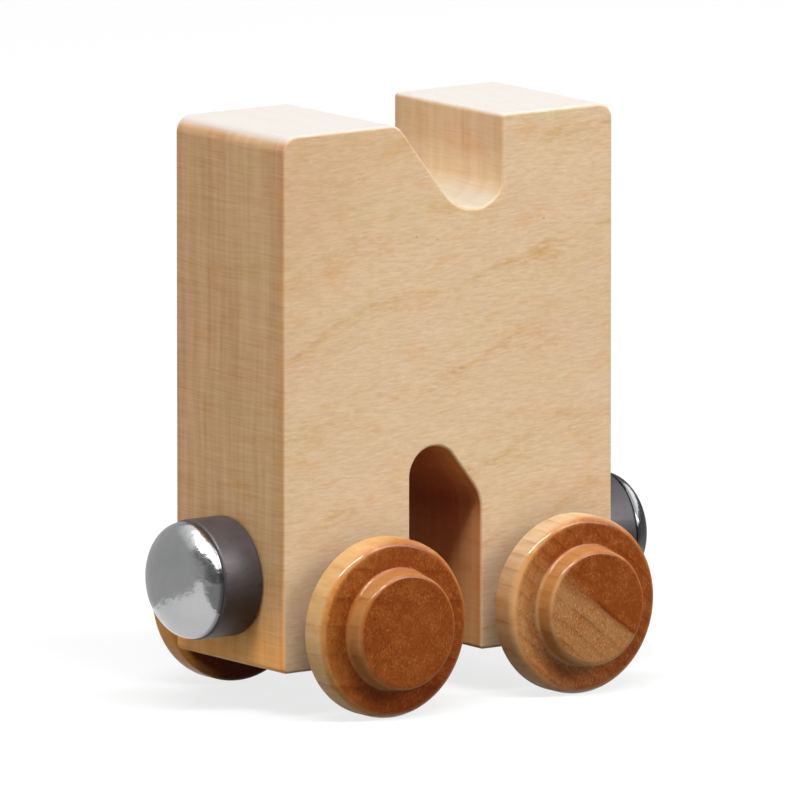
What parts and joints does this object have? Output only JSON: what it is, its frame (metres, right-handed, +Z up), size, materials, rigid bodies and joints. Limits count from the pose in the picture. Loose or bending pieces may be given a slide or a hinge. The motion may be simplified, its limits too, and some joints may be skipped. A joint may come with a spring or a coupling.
{
  "type": "letter train car",
  "caption": "Toy train car shaped as a capital letter, cut from a thick wooden board, rolling on turned wooden wheels, with a capped magnet coupler on each end.",
  "frame": {"origin": "on the ground that the wheels stand on, under the middle of the car's length and thickness", "axes": "+X along the car, the way the letter reads; -Y towards the side on which the letter reads right; +Z up"},
  "size_m": [0.0602, 0.0354, 0.0607],
  "materials": {
    "maple": "pale maple, sanded smooth, with a thin satin clear finish",
    "lacquered_wood": "orange-brown turned hardwood under a glossy lacquer",
    "steel": "plain drawn steel rod",
    "ferrite": "dark grey sintered ferrite, ground, satin",
    "polished_cap": "bright nickel or chrome plating on a pressed steel dome"
  },
  "bodies": {
    "car_body": {"letter_body": "maple", "left_magnet": "ferrite", "right_magnet": "ferrite", "left_magnet_cap": "polished_cap", "right_magnet_cap": "polished_cap", "left_cap_nail": "steel", "right_cap_nail": "steel"},
    "left_wheelset": {"left_axle": "steel", "left_wheel_face_side": "lacquered_wood", "left_wheel_back_side": "lacquered_wood"},
    "right_wheelset": {"right_axle": "steel", "right_wheel_face_side": "lacquered_wood", "right_wheel_back_side": "lacquered_wood"}
  },
  "joints": [
    {"name": "left_wheelset_spin", "type": "hinge", "parent": "car_body", "child": "left_wheelset", "pos_m": [-0.01142, 0, 0.00935], "axis": [0, 1, 0], "continuous": true},
    {"name": "right_wheelset_spin", "type": "hinge", "parent": "car_body", "child": "right_wheelset", "pos_m": [0.0128, 0, 0.00935], "axis": [0, 1, 0], "continuous": true}
  ]
}
